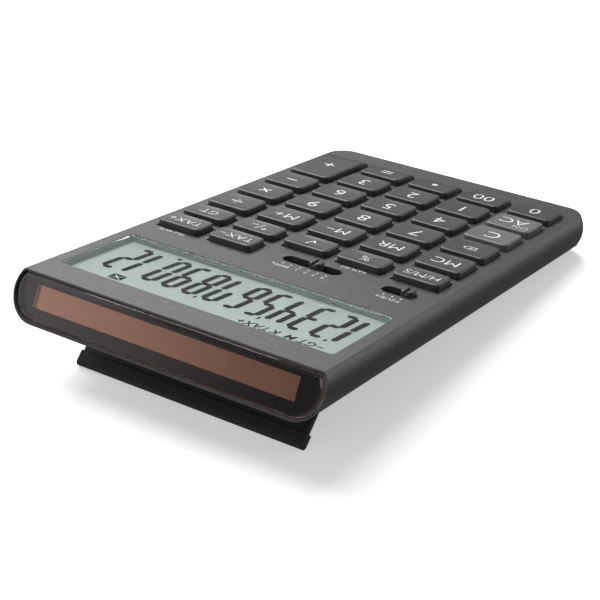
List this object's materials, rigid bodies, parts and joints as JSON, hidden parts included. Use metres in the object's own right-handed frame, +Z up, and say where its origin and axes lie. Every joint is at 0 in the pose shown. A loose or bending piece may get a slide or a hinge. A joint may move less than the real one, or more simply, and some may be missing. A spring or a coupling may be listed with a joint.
{
  "type": "desk calculator",
  "caption": "Slim desk calculator with a tiltable fold-out stand, wide display window, solar panel on the sloping rear end, slide switches and a grid of press keys.",
  "frame": {"origin": "on the desk, midway across the calculator and midway between its front and rear ends", "axes": "+X to the user's right, +Y away from the user towards the display end, +Z up from the desk; the case leans up 5.8 degrees towards +Y on its open stand"},
  "size_m": [0.1056, 0.1832, 0.0328],
  "materials": {
    "case_plastic": "fine spark-eroded texture, charcoal grey with light and dark flecks",
    "key_plastic": "satin, dark grey",
    "clear_key_plastic": "satin, mid grey",
    "black_plastic": "fine matt texture, black",
    "tinted_acrylic": "polished, dark brown tint",
    "clear_acrylic": "polished, clear",
    "solar_film": "amorphous silicon on glass, copper brown",
    "lcd_glass": "pale grey-green reflective display",
    "holder_plastic": "moulded, pale grey-green",
    "board_laminate": "solder resist, green",
    "silicone": "moulded, translucent grey",
    "rubber": "matt, black",
    "steel": "nickel plated",
    "brass": "bare",
    "flex_film": "polyimide film, amber"
  },
  "bodies": {
    "case": {"upper_case": "case_plastic", "lower_case": "case_plastic", "solar_window": "tinted_acrylic", "solar_cell": "solar_film", "display_lens": "clear_acrylic", "lcd_holder": "holder_plastic", "lcd_panel": "lcd_glass", "lcd_ribbon": "flex_film", "circuit_board": "board_laminate", "key_mat": "silicone", "button_cell": "steel", "battery_door": "case_plastic", "battery_contact_minus": "steel", "battery_contact_plus": "steel", "case_screw_1": "steel", "case_screw_2": "steel", "case_screw_3": "steel", "case_screw_4": "steel", "battery_door_screw": "steel", "rubber_foot_front_left": "rubber", "rubber_foot_front_right": "rubber", "rubber_foot_rear_left": "rubber", "rubber_foot_rear_right": "rubber"},
    "stand": {"tilt_stand": "black_plastic", "stand_foot": "rubber"},
    "decimal_switch": {"decimal_switch_knob": "key_plastic", "decimal_switch_wiper": "brass"},
    "rounding_switch": {"rounding_switch_knob": "key_plastic", "rounding_switch_wiper": "brass"},
    "key_tax_minus": {"key_tax_minus": "key_plastic"},
    "key_tax_plus": {"key_tax_plus": "key_plastic"},
    "key_time": {"key_time": "key_plastic"},
    "key_percent": {"key_percent": "key_plastic"},
    "key_root": {"key_root": "key_plastic"},
    "key_sign": {"key_sign": "key_plastic"},
    "key_grand_total": {"key_grand_total": "key_plastic"},
    "key_memory_clear": {"key_memory_clear": "key_plastic"},
    "key_memory_recall": {"key_memory_recall": "key_plastic"},
    "key_memory_minus": {"key_memory_minus": "key_plastic"},
    "key_memory_plus": {"key_memory_plus": "key_plastic"},
    "key_divide": {"key_divide": "key_plastic"},
    "key_backspace": {"key_backspace": "key_plastic"},
    "key_7": {"key_7": "key_plastic"},
    "key_8": {"key_8": "key_plastic"},
    "key_9": {"key_9": "key_plastic"},
    "key_times": {"key_times": "key_plastic"},
    "key_clear": {"key_clear": "clear_key_plastic"},
    "key_4": {"key_4": "key_plastic"},
    "key_5": {"key_5": "key_plastic"},
    "key_6": {"key_6": "key_plastic"},
    "key_minus": {"key_minus": "key_plastic"},
    "key_all_clear": {"key_all_clear": "clear_key_plastic"},
    "key_1": {"key_1": "key_plastic"},
    "key_2": {"key_2": "key_plastic"},
    "key_3": {"key_3": "key_plastic"},
    "key_plus": {"key_plus": "key_plastic"},
    "key_0": {"key_0": "key_plastic"},
    "key_00": {"key_00": "key_plastic"},
    "key_point": {"key_point": "key_plastic"},
    "key_equals": {"key_equals": "key_plastic"}
  },
  "joints": [
    {"name": "stand_fold", "type": "hinge", "parent": "case", "child": "stand", "pos_m": [0, 0.05928, 0.01816], "axis": [-1, 0, 0], "range_deg": [0, 128.5]},
    {"name": "decimal_switch_slide", "type": "slide", "parent": "case", "child": "decimal_switch", "axis": [1, 0, 0], "range_m": [-0.0061, 0.0091]},
    {"name": "rounding_switch_slide", "type": "slide", "parent": "case", "child": "rounding_switch", "axis": [1, 0, 0], "range_m": [0, 0.006]},
    {"name": "press_tax_minus", "type": "slide", "parent": "case", "child": "key_tax_minus", "axis": [0, 0.1011, -0.9949], "range_m": [0, 0.0015], "stiffness_N_per_m": 250, "springref_m": -0.0006},
    {"name": "press_tax_plus", "type": "slide", "parent": "case", "child": "key_tax_plus", "axis": [0, 0.1011, -0.9949], "range_m": [0, 0.0015], "stiffness_N_per_m": 250, "springref_m": -0.0006},
    {"name": "press_time", "type": "slide", "parent": "case", "child": "key_time", "axis": [0, 0.1011, -0.9949], "range_m": [0, 0.0015], "stiffness_N_per_m": 250, "springref_m": -0.0006},
    {"name": "press_percent", "type": "slide", "parent": "case", "child": "key_percent", "axis": [0, 0.1011, -0.9949], "range_m": [0, 0.0015], "stiffness_N_per_m": 250, "springref_m": -0.0006},
    {"name": "press_root", "type": "slide", "parent": "case", "child": "key_root", "axis": [0, 0.1011, -0.9949], "range_m": [0, 0.0015], "stiffness_N_per_m": 250, "springref_m": -0.0006},
    {"name": "press_sign", "type": "slide", "parent": "case", "child": "key_sign", "axis": [0, 0.1011, -0.9949], "range_m": [0, 0.0015], "stiffness_N_per_m": 250, "springref_m": -0.0006},
    {"name": "press_grand_total", "type": "slide", "parent": "case", "child": "key_grand_total", "axis": [0, 0.1011, -0.9949], "range_m": [0, 0.0015], "stiffness_N_per_m": 250, "springref_m": -0.0006},
    {"name": "press_memory_clear", "type": "slide", "parent": "case", "child": "key_memory_clear", "axis": [0, 0.1011, -0.9949], "range_m": [0, 0.0015], "stiffness_N_per_m": 250, "springref_m": -0.0006},
    {"name": "press_memory_recall", "type": "slide", "parent": "case", "child": "key_memory_recall", "axis": [0, 0.1011, -0.9949], "range_m": [0, 0.0015], "stiffness_N_per_m": 250, "springref_m": -0.0006},
    {"name": "press_memory_minus", "type": "slide", "parent": "case", "child": "key_memory_minus", "axis": [0, 0.1011, -0.9949], "range_m": [0, 0.0015], "stiffness_N_per_m": 250, "springref_m": -0.0006},
    {"name": "press_memory_plus", "type": "slide", "parent": "case", "child": "key_memory_plus", "axis": [0, 0.1011, -0.9949], "range_m": [0, 0.0015], "stiffness_N_per_m": 250, "springref_m": -0.0006},
    {"name": "press_divide", "type": "slide", "parent": "case", "child": "key_divide", "axis": [0, 0.1011, -0.9949], "range_m": [0, 0.0015], "stiffness_N_per_m": 250, "springref_m": -0.0006},
    {"name": "press_backspace", "type": "slide", "parent": "case", "child": "key_backspace", "axis": [0, 0.1011, -0.9949], "range_m": [0, 0.0015], "stiffness_N_per_m": 250, "springref_m": -0.0006},
    {"name": "press_7", "type": "slide", "parent": "case", "child": "key_7", "axis": [0, 0.1011, -0.9949], "range_m": [0, 0.0015], "stiffness_N_per_m": 250, "springref_m": -0.0006},
    {"name": "press_8", "type": "slide", "parent": "case", "child": "key_8", "axis": [0, 0.1011, -0.9949], "range_m": [0, 0.0015], "stiffness_N_per_m": 250, "springref_m": -0.0006},
    {"name": "press_9", "type": "slide", "parent": "case", "child": "key_9", "axis": [0, 0.1011, -0.9949], "range_m": [0, 0.0015], "stiffness_N_per_m": 250, "springref_m": -0.0006},
    {"name": "press_times", "type": "slide", "parent": "case", "child": "key_times", "axis": [0, 0.1011, -0.9949], "range_m": [0, 0.0015], "stiffness_N_per_m": 250, "springref_m": -0.0006},
    {"name": "press_clear", "type": "slide", "parent": "case", "child": "key_clear", "axis": [0, 0.1011, -0.9949], "range_m": [0, 0.0015], "stiffness_N_per_m": 250, "springref_m": -0.0006},
    {"name": "press_4", "type": "slide", "parent": "case", "child": "key_4", "axis": [0, 0.1011, -0.9949], "range_m": [0, 0.0015], "stiffness_N_per_m": 250, "springref_m": -0.0006},
    {"name": "press_5", "type": "slide", "parent": "case", "child": "key_5", "axis": [0, 0.1011, -0.9949], "range_m": [0, 0.0015], "stiffness_N_per_m": 250, "springref_m": -0.0006},
    {"name": "press_6", "type": "slide", "parent": "case", "child": "key_6", "axis": [0, 0.1011, -0.9949], "range_m": [0, 0.0015], "stiffness_N_per_m": 250, "springref_m": -0.0006},
    {"name": "press_minus", "type": "slide", "parent": "case", "child": "key_minus", "axis": [0, 0.1011, -0.9949], "range_m": [0, 0.0015], "stiffness_N_per_m": 250, "springref_m": -0.0006},
    {"name": "press_all_clear", "type": "slide", "parent": "case", "child": "key_all_clear", "axis": [0, 0.1011, -0.9949], "range_m": [0, 0.0015], "stiffness_N_per_m": 250, "springref_m": -0.0006},
    {"name": "press_1", "type": "slide", "parent": "case", "child": "key_1", "axis": [0, 0.1011, -0.9949], "range_m": [0, 0.0015], "stiffness_N_per_m": 250, "springref_m": -0.0006},
    {"name": "press_2", "type": "slide", "parent": "case", "child": "key_2", "axis": [0, 0.1011, -0.9949], "range_m": [0, 0.0015], "stiffness_N_per_m": 250, "springref_m": -0.0006},
    {"name": "press_3", "type": "slide", "parent": "case", "child": "key_3", "axis": [0, 0.1011, -0.9949], "range_m": [0, 0.0015], "stiffness_N_per_m": 250, "springref_m": -0.0006},
    {"name": "press_plus", "type": "slide", "parent": "case", "child": "key_plus", "axis": [0, 0.1011, -0.9949], "range_m": [0, 0.0015], "stiffness_N_per_m": 250, "springref_m": -0.0006},
    {"name": "press_0", "type": "slide", "parent": "case", "child": "key_0", "axis": [0, 0.1011, -0.9949], "range_m": [0, 0.0015], "stiffness_N_per_m": 250, "springref_m": -0.0006},
    {"name": "press_00", "type": "slide", "parent": "case", "child": "key_00", "axis": [0, 0.1011, -0.9949], "range_m": [0, 0.0015], "stiffness_N_per_m": 250, "springref_m": -0.0006},
    {"name": "press_point", "type": "slide", "parent": "case", "child": "key_point", "axis": [0, 0.1011, -0.9949], "range_m": [0, 0.0015], "stiffness_N_per_m": 250, "springref_m": -0.0006},
    {"name": "press_equals", "type": "slide", "parent": "case", "child": "key_equals", "axis": [0, 0.1011, -0.9949], "range_m": [0, 0.0015], "stiffness_N_per_m": 250, "springref_m": -0.0006}
  ]
}
